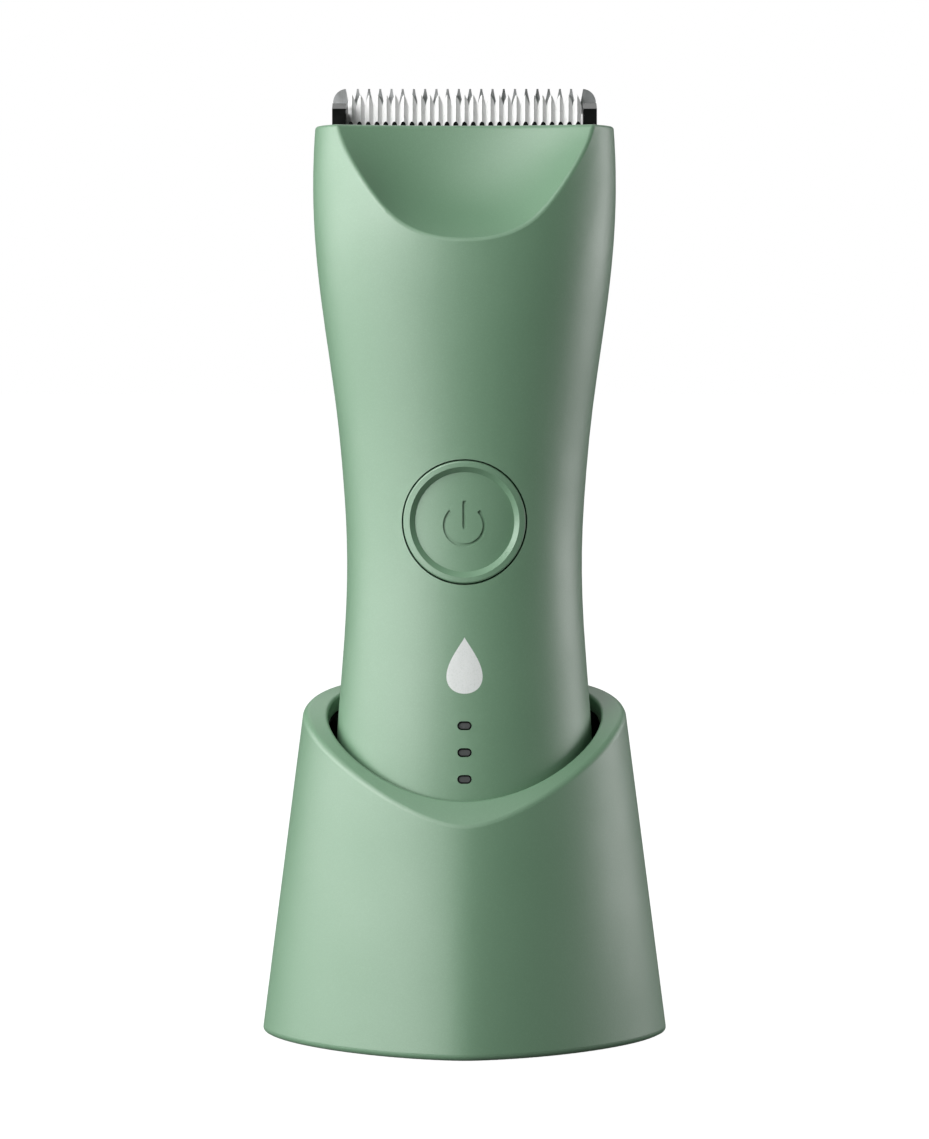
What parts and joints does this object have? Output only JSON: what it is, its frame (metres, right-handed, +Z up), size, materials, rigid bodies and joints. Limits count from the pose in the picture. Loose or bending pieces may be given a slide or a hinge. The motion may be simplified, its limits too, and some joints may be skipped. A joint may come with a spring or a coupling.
{
  "type": "body groomer",
  "caption": "Cordless trimmer with a side-to-side comb blade, thumb scoop and round power button, standing in a tapered oval charging dock.",
  "frame": {"origin": "bottom centre of the dock, on the resting surface", "axes": "+Z up along the trimmer, +X across its width, -Y the face with the button and lights"},
  "size_m": [0.0604, 0.0478, 0.1415],
  "materials": {
    "sage_plastic": "fine soft-touch satin",
    "black_plastic": "satin",
    "ceramic_white": "smooth matt",
    "blade_steel": "ground",
    "spring_steel": "bright",
    "screw_steel": "zinc plated",
    "contact_gold": "gold plated",
    "gasket_rubber": "matt",
    "lens_grey": "gloss",
    "board_green": "solder mask",
    "cell_wrap": "shrink sleeve",
    "motor_steel": "plated",
    "white_plastic": "satin",
    "grey_plastic": "satin",
    "bronze_bush": "sintered",
    "ballast_iron": "zinc plated",
    "foot_rubber": "matt"
  },
  "bodies": {
    "dock": {"dock_shell": "sage_plastic", "dock_tub": "black_plastic", "dock_base_plate": "grey_plastic", "dock_feet": "foot_rubber", "ballast_plate": "ballast_iron", "dock_circuit_board": "board_green", "usb_socket": "spring_steel", "usb_tongue": "black_plastic", "pogo_barrels": "contact_gold", "dock_screws": "screw_steel"},
    "trimmer": {"front_housing": "sage_plastic", "rear_housing": "sage_plastic", "housing_seal": "gasket_rubber", "bottom_cap": "sage_plastic", "contact_pads": "contact_gold", "housing_screws": "screw_steel", "switch_body": "grey_plastic", "light_lenses": "lens_grey", "light_rims": "black_plastic", "circuit_board": "board_green", "battery_cell": "cell_wrap", "battery_tabs": "spring_steel", "chassis": "grey_plastic", "motor_can": "motor_steel", "motor_end_cap": "black_plastic", "motor_bush": "bronze_bush", "lever_pin": "spring_steel", "lever_seal": "gasket_rubber"},
    "button": {"power_button": "sage_plastic"},
    "plunger": {"switch_plunger": "black_plastic"},
    "rotor": {"motor_shaft": "spring_steel", "eccentric": "white_plastic"},
    "lever": {"drive_lever": "white_plastic"},
    "cartridge": {"blade_carrier": "black_plastic", "fixed_blade": "blade_steel", "blade_screws": "screw_steel", "blade_spring": "spring_steel", "cartridge_pin": "spring_steel"},
    "blade": {"moving_blade": "ceramic_white", "blade_follower": "white_plastic"},
    "pogo_left": {"pogo_pin_left": "contact_gold"},
    "pogo_right": {"pogo_pin_right": "contact_gold"}
  },
  "joints": [
    {"name": "trimmer_lift", "type": "slide", "parent": "dock", "child": "trimmer", "axis": [0, 0, 1], "range_m": [0, 0.05]},
    {"name": "button_press", "type": "slide", "parent": "trimmer", "child": "button", "axis": [0, 1, 0], "range_m": [0, 0.0004], "stiffness_N_per_m": 1200, "springref_m": -0.0008},
    {"name": "switch_press", "type": "slide", "parent": "trimmer", "child": "plunger", "axis": [0, 1, 0], "range_m": [0, 0.0004]},
    {"name": "motor_spin", "type": "hinge", "parent": "trimmer", "child": "rotor", "pos_m": [0, 0.0004, 0.1], "axis": [0, 0, 1], "continuous": true},
    {"name": "lever_swing", "type": "hinge", "parent": "trimmer", "child": "lever", "pos_m": [0, 0.0004, 0.118], "axis": [0, 1, 0], "range_deg": [-4, 4]},
    {"name": "cartridge_tilt", "type": "hinge", "parent": "trimmer", "child": "cartridge", "pos_m": [0, 0.0079, 0.1232], "axis": [-1, 0, 0], "range_deg": [0, 32]},
    {"name": "blade_slide", "type": "slide", "parent": "cartridge", "child": "blade", "axis": [1, 0, 0], "range_m": [-0.00084, 0.00084]},
    {"name": "pogo_left_press", "type": "slide", "parent": "dock", "child": "pogo_left", "axis": [0, 0, -1], "range_m": [0, 0.0005], "stiffness_N_per_m": 300, "springref_m": -0.0008},
    {"name": "pogo_right_press", "type": "slide", "parent": "dock", "child": "pogo_right", "axis": [0, 0, -1], "range_m": [0, 0.0005], "stiffness_N_per_m": 300, "springref_m": -0.0008}
  ],
  "couplings": [
    {"joint": "lever_swing", "follows": "blade_slide", "rad_per_m": 83.333},
    {"joint": "switch_press", "follows": "button_press", "ratio": 1}
  ]
}
